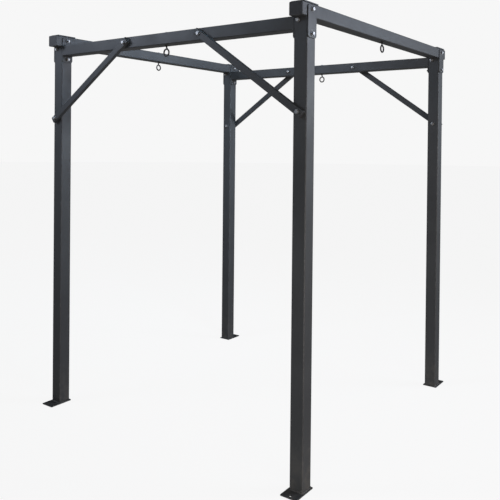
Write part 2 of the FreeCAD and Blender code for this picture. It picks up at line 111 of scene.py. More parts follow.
class Surface:
    """A procedural material: a Principled shader and the nodes that drive it."""

    def __init__(self, name, metallic, specular=0.5):
        self.material = bpy.data.materials.new(name)
        self.material.use_nodes = True
        self.tree = self.material.node_tree
        self.shader = self.tree.nodes["Principled BSDF"]
        self.shader.inputs["Metallic"].default_value = metallic
        self.shader.inputs["Specular IOR Level"].default_value = specular
        self.place = self.tree.nodes.new("ShaderNodeTexCoord").outputs["Object"]

    def link(self, source, target):
        self.tree.links.new(source, target)

    def feed(self, node, name, value):
        """Sets one input of a node, from a number or from another node's output."""
        if isinstance(value, bpy.types.NodeSocket):
            self.link(value, node.inputs[name])
        else:
            node.inputs[name].default_value = value

    def noise(self, scale, detail=3.0, roughness=0.5, stretch=(1, 1, 1)):
        """A noise value that stays with the piece; scale is per metre."""
        mapping = self.tree.nodes.new("ShaderNodeMapping")
        mapping.inputs["Scale"].default_value = stretch
        self.link(self.place, mapping.inputs["Vector"])
        node = self.tree.nodes.new("ShaderNodeTexNoise")
        self.link(mapping.outputs["Vector"], node.inputs["Vector"])
        node.inputs["Scale"].default_value = scale
        node.inputs["Detail"].default_value = detail
        node.inputs["Roughness"].default_value = roughness
        return node.outputs["Fac"]

    def cells(self, scale):
        """A cell pattern, for grain; scale is per metre."""
        node = self.tree.nodes.new("ShaderNodeTexVoronoi")
        self.link(self.place, node.inputs["Vector"])
        node.inputs["Scale"].default_value = scale
        return node.outputs["Distance"]

    def span(self, value, low, high, to_low, to_high):
        """Maps a value from one range to another and holds it there."""
        node = self.tree.nodes.new("ShaderNodeMapRange")
        self.link(value, node.inputs["Value"])
        limits = {"From Min": low, "From Max": high, "To Min": to_low, "To Max": to_high}
        for name, number in limits.items():
            node.inputs[name].default_value = number
        return node.outputs["Result"]

    def math(self, operation, first, second):
        node = self.tree.nodes.new("ShaderNodeMath")
        node.operation = operation
        self.feed(node, 0, first)
        self.feed(node, 1, second)
        return node.outputs["Value"]

    def blend(self, factor, first, second):
        """A colour between two colours."""
        node = self.tree.nodes.new("ShaderNodeMix")
        node.data_type = "RGBA"
        self.feed(node, 0, factor)
        self.feed(node, 6, first if isinstance(first, bpy.types.NodeSocket) else (*first, 1))
        self.feed(node, 7, second if isinstance(second, bpy.types.NodeSocket) else (*second, 1))
        return node.outputs[2]

    def height(self):
        """How high the point is above the floor."""
        node = self.tree.nodes.new("ShaderNodeSeparateXYZ")
        self.link(self.place, node.inputs["Vector"])
        return node.outputs["Z"]

    def edge(self):
        """1 on rounded edges, 0 on flat faces."""
        node = self.tree.nodes.new("ShaderNodeAttribute")
        node.attribute_name = "edge"
        return node.outputs["Fac"]

    def bump(self, value, depth, strength, before=None):
        node = self.tree.nodes.new("ShaderNodeBump")
        self.link(value, node.inputs["Height"])
        node.inputs["Distance"].default_value = depth
        node.inputs["Strength"].default_value = strength
        if before is not None:
            self.link(before, node.inputs["Normal"])
        return node.outputs["Normal"]

    def output(self, colour, roughness, normal):
        self.link(colour, self.shader.inputs["Base Color"])
        self.link(roughness, self.shader.inputs["Roughness"])
        self.link(normal, self.shader.inputs["Normal"])
        return self.material


def powder_coat():
    """Satin charcoal coat: orange peel, uneven tone, lighter edges that are partly thin coat and partly a
    painted highlight, faint rubs and dust near the floor.
    """
    s = Surface("powder_coat", metallic=0.0, specular=0.45)
    tone = s.span(s.noise(2.6, 4.0), 0.3, 0.7, 0.0, 1.0)
    colour = s.blend(tone, (0.050, 0.053, 0.057), (0.066, 0.069, 0.073))
    # The lighter edges are partly wear where the coat is thin and partly a painted highlight along the
    # corners.
    edge_lightening = s.math("MULTIPLY", s.edge(), s.span(s.noise(38.0, 3.0), 0.42, 0.66, 0.15, 1.0))
    colour = s.blend(s.math("MULTIPLY", edge_lightening, 0.45), colour, (0.100, 0.103, 0.108))
    rubs = s.span(s.noise(34.0, 6.0, 0.6, (1.0, 1.0, 0.22)), 0.66, 0.78, 0.0, 0.35)
    colour = s.blend(rubs, colour, (0.105, 0.105, 0.108))
    low = s.span(s.height(), 0.0, 0.30, 1.0, 0.0)
    dust = s.math("MULTIPLY", low, s.span(s.noise(26.0, 5.0), 0.38, 0.72, 0.05, 0.55))
    colour = s.blend(dust, colour, (0.155, 0.145, 0.130))
    roughness = s.span(s.noise(7.0, 5.0), 0.3, 0.7, 0.40, 0.54)
    roughness = s.math("ADD", roughness, s.math("MULTIPLY", dust, 0.30))
    roughness = s.math("SUBTRACT", roughness, s.math("MULTIPLY", rubs, 0.25))
    peel = s.bump(s.noise(620.0, 2.0), 0.00012, 0.55)
    normal = s.bump(s.noise(1900.0, 2.0), 0.00004, 0.5, before=peel)
    return s.output(colour, roughness, normal)


def zinc():
    """Bright zinc: cloudy passivated tone, fine drawing marks and a soft gloss."""
    s = Surface("bright_zinc", metallic=1.0)
    tint = s.span(s.noise(90.0, 4.0), 0.35, 0.65, 0.0, 1.0)
    colour = s.blend(tint, (0.42, 0.43, 0.455), (0.52, 0.51, 0.485))
    dull = s.span(s.noise(260.0, 4.0), 0.55, 0.75, 0.0, 0.6)
    colour = s.blend(dull, colour, (0.32, 0.32, 0.33))
    roughness = s.span(s.noise(180.0, 5.0), 0.3, 0.7, 0.38, 0.58)
    roughness = s.math("ADD", roughness, s.math("MULTIPLY", dull, 0.20))
    marks = s.bump(s.noise(1400.0, 3.0, 0.6, (1.0, 1.0, 3.0)), 0.00005, 0.5)
    return s.output(colour, roughness, marks)


def black_oxide():
    """Blackened steel: a thin oily black with brown clouds and forging texture."""
    s = Surface("black_oxide", metallic=0.35, specular=0.5)
    tint = s.span(s.noise(120.0, 4.0), 0.35, 0.65, 0.0, 1.0)
    colour = s.blend(tint, (0.026, 0.026, 0.028), (0.038, 0.034, 0.031))
    edge_lightening = s.math("MULTIPLY", s.edge(), s.span(s.noise(300.0, 4.0), 0.4, 0.65, 0.1, 0.7))
    colour = s.blend(edge_lightening, colour, (0.13, 0.125, 0.12))
    roughness = s.span(s.noise(220.0, 4.0), 0.3, 0.7, 0.30, 0.50)
    normal = s.bump(s.noise(700.0, 4.0), 0.0001, 0.5)
    return s.output(colour, roughness, normal)


def moulded_plastic():
    """Moulded black plastic: a fine grain with polished high spots, slight fading, and edges lightened as a
    painted highlight.
    """
    s = Surface("moulded_plastic", metallic=0.0, specular=0.45)
    tint = s.span(s.noise(40.0, 3.0), 0.3, 0.7, 0.0, 1.0)
    colour = s.blend(tint, (0.040, 0.040, 0.043), (0.052, 0.052, 0.055))
    # Painted highlight: the rounded edges are made lighter.
    colour = s.blend(s.math("MULTIPLY", s.edge(), 0.45), colour, (0.115, 0.115, 0.12))
    roughness = s.span(s.noise(120.0, 4.0), 0.3, 0.7, 0.46, 0.60)
    normal = s.bump(s.cells(1500.0), 0.0001, 0.5)
    return s.output(colour, roughness, normal)


def painted_weld():
    """Coat over a weld: the powder pools between the ripples, so it is glossier and a little darker."""
    s = Surface("powder_coat_on_weld", metallic=0.0, specular=0.5)
    tone = s.span(s.noise(160.0, 4.0), 0.3, 0.7, 0.0, 1.0)
    colour = s.blend(tone, (0.042, 0.044, 0.048), (0.064, 0.066, 0.070))
    low = s.span(s.height(), 0.0, 0.30, 1.0, 0.0)
    dust = s.math("MULTIPLY", low, s.span(s.noise(60.0, 5.0), 0.38, 0.72, 0.1, 0.6))
    colour = s.blend(dust, colour, (0.155, 0.145, 0.130))
    roughness = s.span(s.noise(300.0, 4.0), 0.3, 0.7, 0.32, 0.50)
    normal = s.bump(s.noise(900.0, 3.0), 0.00012, 0.5)
    return s.output(colour, roughness, normal)


FINISHES = {
    "powder": (powder_coat(), "powder_coated_steel"),
    "weld": (painted_weld(), "powder_coated_steel"),
    "zinc": (zinc(), "zinc_plated_steel"),
    "oxide": (black_oxide(), "blackened_steel"),
    "plastic": (moulded_plastic(), "black_plastic"),
}


# ---- shapes ----

def rounded_rectangle(width, height, corner, steps=ROUND_STEPS):
    """Points round a rectangle with round corners, centred on the origin."""
    points = []
    for turn, (a, b) in enumerate(((1, 1), (-1, 1), (-1, -1), (1, -1))):
        centre = Vector((a * (width / 2 - corner), b * (height / 2 - corner), 0))
        for step in range(steps + 1):
            angle = (turn + step / steps) * math.pi / 2
            points.append(centre + corner * Vector((math.cos(angle), math.sin(angle), 0)))
    return points


def corner_weights(steps=ROUND_STEPS):
    """The edge value of each point of a rounded rectangle: 1 in the middle of a corner."""
    return [math.sin(math.pi * step / steps) for _ in range(4) for step in range(steps + 1)]


def circle(radius, steps=CIRCLE_STEPS):
    """Points round a circle."""
    angles = [math.tau * step / steps for step in range(steps)]
    return [radius * Vector((math.cos(angle), math.sin(angle), 0)) for angle in angles]


def hexagon_radii(flats, steps=CIRCLE_STEPS):
    """The distance from the axis to a hexagon's side at each point round it."""
    sixth = math.tau / 6
    turns = [(math.tau * step / steps) % sixth - sixth / 2 for step in range(steps)]
    return [flats / 2 / math.cos(turn) for turn in turns]


def raised(points, z):
    return [Vector((point.x, point.y, z)) for point in points]


def add_ring(bm, place, points, weights):
    """Adds one ring of points; the weights say how much each lies on an edge."""
    layer = bm.verts.layers.float["edge"]
    if not isinstance(weights, (list, tuple)):
        weights = [weights] * len(points)
    ring = []
    for point, weight in zip(points, weights):
        vertex = bm.verts.new(place @ point)
        vertex[layer] = weight
        ring.append(vertex)
    return ring


def skin(bm, place, rings, closed=False, first_cap=False, last_cap=False):
    """Joins (points, weights) rings with faces. Closed joins the last ring to the first."""
    made = [add_ring(bm, place, points, weights) for points, weights in rings]
    pairs = list(zip(made, made[1:]))
    if closed:
        pairs.append((made[-1], made[0]))
    for low, high in pairs:
        for number in range(len(low)):
            after = (number + 1) % len(low)
            bm.faces.new((low[number], low[after], high[after], high[number]))
    if first_cap:
        bm.faces.new(made[0][::-1])
    if last_cap:
        bm.faces.new(made[-1])
    return made


def loop_edges(bm, ring):
    return [bm.edges.get((a, b)) for a, b in zip(ring, ring[1:] + ring[:1])]


def new_mesh():
    bm = bmesh.new()
    bm.verts.layers.float.new("edge")
    return bm


def make_piece(bm, name, body, finish, *replaced):
    """Turns a finished mesh into a piece that rides on a body and stands for CAD nodes."""
    bmesh.ops.recalc_face_normals(bm, faces=bm.faces)
    for edge in bm.edges:
        edge.smooth = edge.calc_face_angle(0.0) < SHARP_ANGLE
    for face in bm.faces:
        face.smooth = True
    mesh = bpy.data.meshes.new(name)
    bm.to_mesh(mesh)
    bm.free()
    piece = bpy.data.objects.new(name, mesh)
    bpy.context.scene.collection.objects.link(piece)
    material, slot = FINISHES[finish]
    mesh.materials.append(material)
    normals = piece.modifiers.new("normals", "WEIGHTED_NORMAL")
    normals.keep_sharp = True
    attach(piece, body)
    if replaced:
        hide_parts(*replaced)
    return piece


def axis_frame(origin, along, across=None):
    """A frame at a point whose Z runs along a direction."""
    z = along.normalized()
    if across is None:
        across = AXES["X"] if abs(z.x) < 0.9 else AXES["Y"]
    x = (across - across.dot(z) * z).normalized()
    y = z.cross(x)
    return Matrix.Translation(origin) @ Matrix((x, y, z)).transposed().to_4x4()


def solids(node):
    """The lowest and highest corner of each separate solid of a CAD node."""
    bm = bmesh.new()
    bm.from_mesh(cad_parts[node].data)
    bmesh.ops.remove_doubles(bm, verts=bm.verts, dist=1e-6)
    left = set(bm.verts)
    boxes = []
    while left:
        stack = [left.pop()]
        members = []
        while stack:
            vertex = stack.pop()
            members.append(vertex.co.copy())
            for edge in vertex.link_edges:
                other = edge.other_vert(vertex)
                if other in left:
                    left.remove(other)
                    stack.append(other)
        low = Vector([min(co[k] for co in members) for k in range(3)])
        high = Vector([max(co[k] for co in members) for k in range(3)])
        boxes.append((low, high))
    bm.free()
    return sorted(boxes, key=lambda box: tuple(round(number, 4) for number in box[0]))


# ---- tubes ----

def tube_rings(width, depth, corner, wall, length):
    """The rings of a hollow tube, out along the outside and back along the inside."""
    def outline(inset):
        return rounded_rectangle(width - 2 * inset, depth - 2 * inset, corner - inset)

    skins = ((BURR, 0, 1), (0, BURR, None), (0, length - BURR, None), (BURR, length, 1),
             (wall - BURR, length, 1), (wall, length - BURR, 0), (wall, BURR, 0), (wall - BURR, 0, 1))
    return [(raised(outline(inset), z), corner_weights() if weight is None else weight)
            for inset, z, weight in skins]


def make_tube(node, axis):
    """A square or box tube along an axis of the frame."""
    low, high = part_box(node)
    size = high - low
    centre = (low + high) / 2
    across, along = {"X": ("Y", "Z"), "Y": ("Z", "X"), "Z": ("X", "Y")}[axis]
    start = centre - AXES[axis] * size.dot(AXES[axis]) / 2
    place = axis_frame(start, AXES[axis], AXES[across])
    bm = new_mesh()
    rings = tube_rings(size.dot(AXES[across]), size.dot(AXES[along]), TUBE_CORNER, TUBE_WALL,
                       size.dot(AXES[axis]))
    skin(bm, place, rings, closed=True)
    make_piece(bm, f"{node}_tube", "stand", "powder", node)


def brace_line(node, end):
    """A brace's lower end, direction and length, from the box that its slope gives it."""
    low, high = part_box(node)
    run = high.y - low.y
    rise = high.z - low.z
    slope = math.atan2(rise, run)
    for _ in range(60):
        along_y = run - BRACE_WIDTH * math.sin(slope)
        along_z = rise - BRACE_WIDTH * math.cos(slope)
        slope = math.atan2(along_z, along_y)
    length = math.hypot(along_y, along_z)
    inward = 1 if end == "front" else -1
    along = Vector((0, inward * math.cos(slope), math.sin(slope)))
    start = (low + high) / 2 - along * length / 2
    return start, along, length, high.x - low.x


def plug_rings(width, depth, corner):
    """A moulded plug, from the tip of its stem to its cover, with Z pointing out of the tube."""
    def outline(inset, z):
        return raised(rounded_rectangle(width - 2 * inset, depth - 2 * inset,
                                        max(corner - inset, 0.0008)), z)

    gap = BRACE_WALL + 0.0002
    rings = [(outline(gap + 0.0012, -PLUG_DEPTH), 0), (outline(gap, 0.002 - PLUG_DEPTH), 0),
             (outline(gap, 0), 0), (outline(0.0004, 0), 0), (outline(0, 0.0003), 0.4)]
    for step in range(RIM_STEPS + 1):
        angle = math.pi / 2 * step / RIM_STEPS
        rings.append((outline(PLUG_ROUNDING * (1 - math.cos(angle)),
                              PLUG_THICKNESS - PLUG_ROUNDING * (1 - math.sin(angle))),
                      math.sin(2 * angle)))
    return rings


def make_braces():
    """The four braces and, as one piece, the plugs in their ends."""
    plugs = new_mesh()
    for end, side in CORNERS:
        node = f"brace_{side}_{end}"
        start, along, length, depth = brace_line(node, end)
        bm = new_mesh()
        rings = tube_rings(depth, BRACE_WIDTH, BRACE_CORNER, BRACE_WALL, length)
        skin(bm, axis_frame(start, along, AXES["X"]), rings, closed=True)
        make_piece(bm, f"{node}_tube", "stand", "powder", node)
        for point, outward in ((start, -along), (start + along * length, along)):
            skin(plugs, axis_frame(point, outward, AXES["X"]),
                 plug_rings(depth, BRACE_WIDTH, BRACE_CORNER), first_cap=True, last_cap=True)
    make_piece(plugs, "brace_end_plugs_moulded", "stand", "plastic", "brace_end_plugs")


# ---- plates and caps ----

def rim(thickness, rounding):
    """How far in, how high and how much on an edge each ring round a plate's rim is."""
    steps = [math.pi / 2 * step / RIM_STEPS for step in range(RIM_STEPS + 1)]
    low = [(rounding * (1 - math.sin(a)), rounding * (1 - math.cos(a)), math.sin(2 * a)) for a in steps]
    return low + [(inset, thickness - z, weight) for inset, z, weight in reversed(low)]


def flat_plate(bm, place, width, height, corner, thickness, holes):
    """A flat plate with round corners, softened edges and round holes."""
    levels = rim(thickness, PLATE_ROUNDING)
    outside = [(raised(rounded_rectangle(width - 2 * inset, height - 2 * inset, corner - inset), z), weight)
               for inset, z, weight in levels]
    rims = [skin(bm, place, outside)]
    for x, y, radius in holes:
        move = Matrix.Translation((x, y, 0))
        inside = [([move @ point for point in raised(circle(radius + inset / 2), z)], weight)
                  for inset, z, weight in levels]
        rims.append(skin(bm, place, inside))
    for which in (0, -1):
        edges = [edge for rings in rims for edge in loop_edges(bm, rings[which])]
        if holes:
            bmesh.ops.triangle_fill(bm, edges=edges, use_beauty=True)
        else:
            bm.faces.new(rims[0][which])


def make_bolted_plate(node):
    """A corner plate standing upright, its thickness along Y."""
    low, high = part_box(node)
    size = high - low
    middle = (low + high) / 2
    place = axis_frame(Vector((middle.x, low.y, middle.z)), AXES["Y"], AXES["X"])
    holes = [(0, sign * PLATE_HOLE_SPACING / 2, PLATE_HOLE) for sign in (-1, 1)]
    bm = new_mesh()
    flat_plate(bm, place, size.x, size.z, PLATE_CORNER, size.y, holes)
    make_piece(bm, f"{node}_cut", "stand", "powder", node)


def make_top_plate(node):
    low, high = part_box(node)
    size = high - low
    middle = (low + high) / 2
    place = axis_frame(Vector((middle.x, middle.y, low.z)), AXES["Z"], AXES["X"])
    bm = new_mesh()
    flat_plate(bm, place, size.x, size.y, TOP_PLATE_CORNER, size.z, [])
    make_piece(bm, f"{node}_cut", "stand", "powder", node)


def make_foot(node, side):
    """A foot plate with its anchor hole on the outside of the stand."""
    low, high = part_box(node)
    size = high - low
    middle = (low + high) / 2
    outward = -1 if side == "left" else 1
    place = axis_frame(Vector((middle.x, middle.y, low.z)), AXES["Z"], AXES["X"])
    holes = [(outward * (size.x / 2 - ANCHOR_INSET), 0, ANCHOR_HOLE)]
    bm = new_mesh()
    flat_plate(bm, place, size.x, size.y, FOOT_CORNER, size.z, holes)
    make_piece(bm, f"{node}_cut", "stand", "powder", node)


def make_beam_cap(node, side):
    """A moulded cap: a hollow plug inside the beam and a rounded cover over its end."""
    low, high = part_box(node)
    outward = AXES["X"] * (-1 if side == "left" else 1)
    tip = low.x if side == "left" else high.x
    seat = Vector((tip, (low.y + high.y) / 2, (low.z + high.z) / 2)) - outward * CAP_THICKNESS
    depth = (high.x - low.x) - CAP_THICKNESS
    place = axis_frame(seat, outward, AXES["Y"])

    def outline(inset, z):
        return raised(rounded_rectangle(high.y - low.y - 2 * inset, high.z - low.z - 2 * inset,
                                        max(TUBE_CORNER - inset, 0.001)), z)

    rings = [(outline(CAP_GAP + CAP_SKIN, 0.001), 0), (outline(CAP_GAP + CAP_SKIN, -depth), 0),
             (outline(CAP_GAP + 0.001, -depth), 0), (outline(CAP_GAP, 0.003 - depth), 0),
             (outline(CAP_GAP, 0), 0), (outline(0.0005, 0), 0), (outline(0, 0.0005), 0.5)]
    for step in range(2 * RIM_STEPS + 1):
        angle = math.pi / 2 * step / (2 * RIM_STEPS)
        rings.append((outline(CAP_ROUNDING * (1 - math.cos(angle)),
                              CAP_THICKNESS - CAP_ROUNDING * (1 - math.sin(angle))),
                      math.sin(2 * angle)))
    rings.append((outline(CAP_ROUNDING + 0.003, CAP_THICKNESS), 0))
    bm = new_mesh()
    skin(bm, place, rings, first_cap=True, last_cap=True)
    make_piece(bm, f"{node}_moulded", "stand", "plastic", node)


# ---- welds ----

def bead(bm, line, outward, up, size, closed):
    """A rippled fillet weld along a line, between the plate that it lies on and the wall that it climbs."""
    total = sum((b - a).length for a, b in zip(line, line[1:] + (line[:1] if closed else [])))
    ripple = total / max(1, round(total / WELD_RIPPLE))
    travelled = 0.0
    rings = []
    for number, point in enumerate(line):
        if number:
            travelled += (point - line[number - 1]).length
        # The bead starts and stops small, and its size drifts along it.
        grown = 1.0
        if not closed:
            nearest = min(travelled, total - travelled)
            grown = 0.25 + 0.75 * math.sqrt(min(1.0, nearest / (1.5 * size)))
        drift = 1 + 0.05 * math.sin(math.tau * 3 * travelled / total)
        ring = []
        for step in range(9):
            angle = math.pi / 2 * (step / 8 * 1.16 - 0.08)
            phase = (travelled + 0.4 * size * math.sin(2 * angle)) / ripple
            reach = size * grown * drift * (1 - 0.14 * math.sin(2 * angle))
            reach *= 1 + 0.065 * math.sin(math.tau * phase)
            ring.append(point + reach * (math.cos(angle) * outward[number] + math.sin(angle) * up))
        ring.append(point - WELD_ROOT * (outward[number] + up))
        rings.append((ring, 0))
    skin(bm, Matrix.Identity(4), rings, closed=closed, first_cap=not closed, last_cap=not closed)


def make_foot_weld(end, side):
    """The weld all round the base of a post."""
    low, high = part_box(f"post_{end}_{side}")
    middle = Vector(((low.x + high.x) / 2, (low.y + high.y) / 2, low.z))
    steps = 12
    outline = rounded_rectangle(high.x - low.x, high.y - low.y, TUBE_CORNER, steps)
    line = []
    outward = []
    for number, point in enumerate(outline):
        after = outline[(number + 1) % len(outline)]
        count = max(1, round((after - point).length / WELD_STEP))
        for part in range(count):
            line.append(middle + point.lerp(after, part / count))
            corner, step = divmod(number, steps + 1)
            angle = (corner + min(step + part / count, steps) / steps) * math.pi / 2
            outward.append(Vector((math.cos(angle), math.sin(angle), 0)))
    bm = new_mesh()
    bead(bm, line, outward, AXES["Z"], FOOT_WELD, closed=True)
    make_piece(bm, f"foot_weld_{end}_{side}", "stand", "weld")


def straight_bead(bm, start, finish, outward, up, size):
    count = round((finish - start).length / WELD_STEP)
    line = [start.lerp(finish, number / count) for number in range(count + 1)]
    bead(bm, line, [outward] * len(line), up, size, closed=False)


def make_end_plate_weld(end, side):
    """The welds above and below a side beam, where it meets its end plate."""
    low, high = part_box(f"{side}_beam")
    plate_low, plate_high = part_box(f"beam_end_plate_{end}_{side}")
    inward = AXES["Y"] * (1 if end == "front" else -1)
    y = plate_high.y if end == "front" else plate_low.y
    bm = new_mesh()
    for z, away in ((high.z, AXES["Z"]), (low.z, -AXES["Z"])):
        start = Vector((low.x + TUBE_CORNER, y, z))
        finish = Vector((high.x - TUBE_CORNER, y, z))
        straight_bead(bm, start, finish, inward, away, END_PLATE_WELD)
    make_piece(bm, f"beam_end_weld_{end}_{side}", "stand", "weld")


def make_top_plate_weld(end, side):
    """The welds across the beam at both ends of a top plate."""
    low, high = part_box(f"corner_top_plate_{end}_{side}")
    bm = new_mesh()
    for x, away in ((low.x, -AXES["X"]), (high.x, AXES["X"])):
        start = Vector((x, low.y + 1.5 * TUBE_CORNER, low.z))
        finish = Vector((x, high.y - 1.5 * TUBE_CORNER, low.z))
        straight_bead(bm, start, finish, away, AXES["Z"], TOP_PLATE_WELD)
    make_piece(bm, f"top_plate_weld_{end}_{side}", "stand", "weld")


# ---- fasteners ----

def hexagon_at(radii, heights):
    """Points round a hexagon, each at its own height."""
    steps = len(radii)
    points = []
    for number, (radius, z) in enumerate(zip(radii, heights)):
        angle = math.tau * number / steps
        points.append(Vector((radius * math.cos(angle), radius * math.sin(angle), z)))
    return points


def hexagon_head(bm, place, flats, height):
    """A hexagon head on its washer face, with its corners turned off at 30 degrees on top."""
    radii = hexagon_radii(flats)
    turned = TURNED_OFF * flats / 2
    drop = [height - (radius - turned) * math.tan(math.pi / 6) for radius in radii]
    rings = [(raised(circle(turned), 0), 0), (raised(circle(turned), HEAD_FOOT), 0),
             (hexagon_at(radii, [HEAD_FOOT] * len(radii)), 0.3), (hexagon_at(radii, drop), 1),
             (raised(circle(turned), height), 1), (raised(circle(0.8 * turned), height - 0.0003), 0)]
    skin(bm, place, rings, first_cap=True, last_cap=True)


def hexagon_nut(bm, place, flats, height, hole):
    """A hexagon nut, turned off on both faces, with a countersunk hole."""
    radii = hexagon_radii(flats)
    turned = TURNED_OFF * flats / 2
    drops = [(radius - turned) * math.tan(math.pi / 6) for radius in radii]
    rings = [(raised(circle(hole), NUT_SINK), 0), (raised(circle(hole + NUT_SINK), 0), 0.5),
             (raised(circle(turned), 0), 1), (hexagon_at(radii, drops), 1),
             (hexagon_at(radii, [height - drop for drop in drops]), 1),
             (raised(circle(turned), height), 1), (raised(circle(hole + NUT_SINK), height), 0.5),
             (raised(circle(hole), height - NUT_SINK), 0)]
    skin(bm, place, rings, closed=True)


def threaded_end(bm, place, radius, length, plain, pitch=THREAD_PITCH):
    """A shank up its own Z: plain, then a real helical thread to a chamfered end."""
    steps = THREAD_STEPS
    depth = THREAD_DEPTH * pitch / THREAD_PITCH
    chamfer = 1.3 * depth
    rings = [(raised(circle(radius, steps), 0), 0), (raised(circle(radius, steps), plain), 0)]
    count = round((length - plain) / pitch * THREAD_RINGS)
    for number in range(1, count + 1):
        z = plain + (length - plain) * number / count
        limit = radius - max(0.0, z - (length - chamfer))
        ring = []
        for step in range(steps):
            angle = math.tau * step / steps
            turn = (z / pitch - step / steps) % 1.0
            crest = 1 - abs(2 * turn - 1)
            reach = min(radius - depth * (1 - min(1.0, 1.25 * crest)), limit)
            ring.append(Vector((reach * math.cos(angle), reach * math.sin(angle), z)))
        rings.append((ring, 0.3))
    skin(bm, place, rings, first_cap=True, last_cap=True)


def washer(bm, place, inner, outer, thickness):
    """A stamped washer: rolled over on its outer face, crisp underneath."""
    roll = 0.0007
    levels = ((inner + 0.0002, 0, 0.3), (outer - 0.0002, 0, 0.3), (outer, 0.0002, 0.5),
              (outer, thickness - roll, 0.5), (outer - 0.3 * roll, thickness - 0.3 * roll, 1),
              (outer - roll, thickness, 0.5), (inner + roll, thickness, 0.5),
              (inner + 0.3 * roll, thickness - 0.3 * roll, 1), (inner, thickness - roll, 0.3),
              (inner, 0.0002, 0.3))
    rings = [(raised(circle(radius), z), weight) for radius, z, weight in levels]
    skin(bm, place, rings, closed=True)


def spin(number):
    """How far round each fastener was left when it was tightened."""
    return Matrix.Rotation(math.radians((number * 47) % 60), 4, "Z")


def outward_of(low, high, axis):
    """The direction along an axis that leads out of the stand, at a solid."""
    middle = (low + high) / 2
    return AXES[axis] * (1 if middle.dot(AXES[axis]) > 0 else -1)


def on_face(low, high, axis, outward, out):
    """The middle of the face of a solid's box that looks out of the stand, or into it."""
    half = AXES[axis] * (high - low).dot(AXES[axis]) / 2
    sign = 1 if outward.dot(AXES[axis]) > 0 else -1
    return (low + high) / 2 + half * (sign if out else -sign)


def make_fasteners(family, axis, post_line):
    """The bolts, nuts and washers of one family. A washer nearer the middle of the stand than the
    line of the posts lies under a nut, so it faces inwards."""
    bolts = new_mesh()
    for number, (low, high) in enumerate(solids(f"{family}s")):
        outward = outward_of(low, high, axis)
        top = on_face(low, high, axis, outward, True)
        length = (high - low).dot(AXES[axis]) - HEAD_HEIGHT
        seat = top - outward * HEAD_HEIGHT
        hexagon_head(bolts, axis_frame(seat, outward) @ spin(number), HEAD_FLATS, HEAD_HEIGHT)
        threaded_end(bolts, axis_frame(seat + outward * 0.001, -outward), SHANK, length + 0.001,
                     length - THREADED)
    make_piece(bolts, f"{family}s_threaded", "stand", "zinc", f"{family}s")
    nuts = new_mesh()
    for number, (low, high) in enumerate(solids(f"{family}_nuts")):
        outward = outward_of(low, high, axis)
        face = on_face(low, high, axis, outward, False)
        hexagon_nut(nuts, axis_frame(face, outward) @ spin(number + 5), HEAD_FLATS,
                    (high - low).dot(AXES[axis]), SHANK + SHANK_PLAY)
    make_piece(nuts, f"{family}_nuts_chamfered", "stand", "zinc", f"{family}_nuts")
    washers = new_mesh()
    for low, high in solids(f"{family}_washers"):
        outward = outward_of(low, high, axis)
        middle = (low + high) / 2
        if abs(middle.dot(AXES[axis])) < post_line:
            outward = -outward
        face = on_face(low, high, axis, outward, False)
        radius = max((high - low).x, (high - low).z) / 2
        washer(washers, axis_frame(face, outward), PLATE_HOLE, radius, (high - low).dot(AXES[axis]))
    make_piece(washers, f"{family}_washers_stamped", "stand", "zinc", f"{family}_washers")


# ---- eye bolts ----

def rod(bm, place, line, radius, steps=20):
    """A round rod bent along a line in its own XZ plane, with chamfered ends."""
    flat = AXES["Y"]
    rings = []
    last = len(line) - 1
    for number, point in enumerate(line):
        tangent = (line[min(number + 1, last)] - line[max(number - 1, 0)]).normalized()
        side = tangent.cross(flat)
        size = radius * (ROD_END if number in (0, last) else 1.0)
        ring = []
        for step in range(steps):
            angle = math.tau * step / steps
            ring.append(point + size * (math.cos(angle) * side + math.sin(angle) * flat))
        rings.append((ring, 1 if number in (0, last) else 0.25))
    skin(bm, place, rings, first_cap=True, last_cap=True)


def eye_line(ring_z):
    """The line of the bent rod: down from the neck, round the ring and back up beside the neck."""
    ring = Vector((0, 0, ring_z))
    neck = Vector((0, 0, -0.002))
    start_angle = math.radians(128)
    sweep = math.radians(318)
    meet = ring + EYE_RING * Vector((math.cos(start_angle), 0, math.sin(start_angle)))
    heading = Vector((-math.sin(start_angle), 0, math.cos(start_angle)))
    pull = (meet - neck).length
    controls = (neck, neck - AXES["Z"] * 0.55 * pull, meet - heading * 0.35 * pull, meet)
    line = []
    for number in range(BEND_STEPS):
        t = number / BEND_STEPS
        a, b, c, d = controls
        line.append(a * (1 - t) ** 3 + b * 3 * t * (1 - t) ** 2 + c * 3 * t * t * (1 - t) + d * t ** 3)
    for number in range(RING_STEPS + 1):
        angle = start_angle + sweep * number / RING_STEPS
        line.append(ring + EYE_RING * Vector((math.cos(angle), 0, math.sin(angle))))
    line.append(line[-1] + (line[-1] - line[-2]).normalized() * 0.0008)
    return line


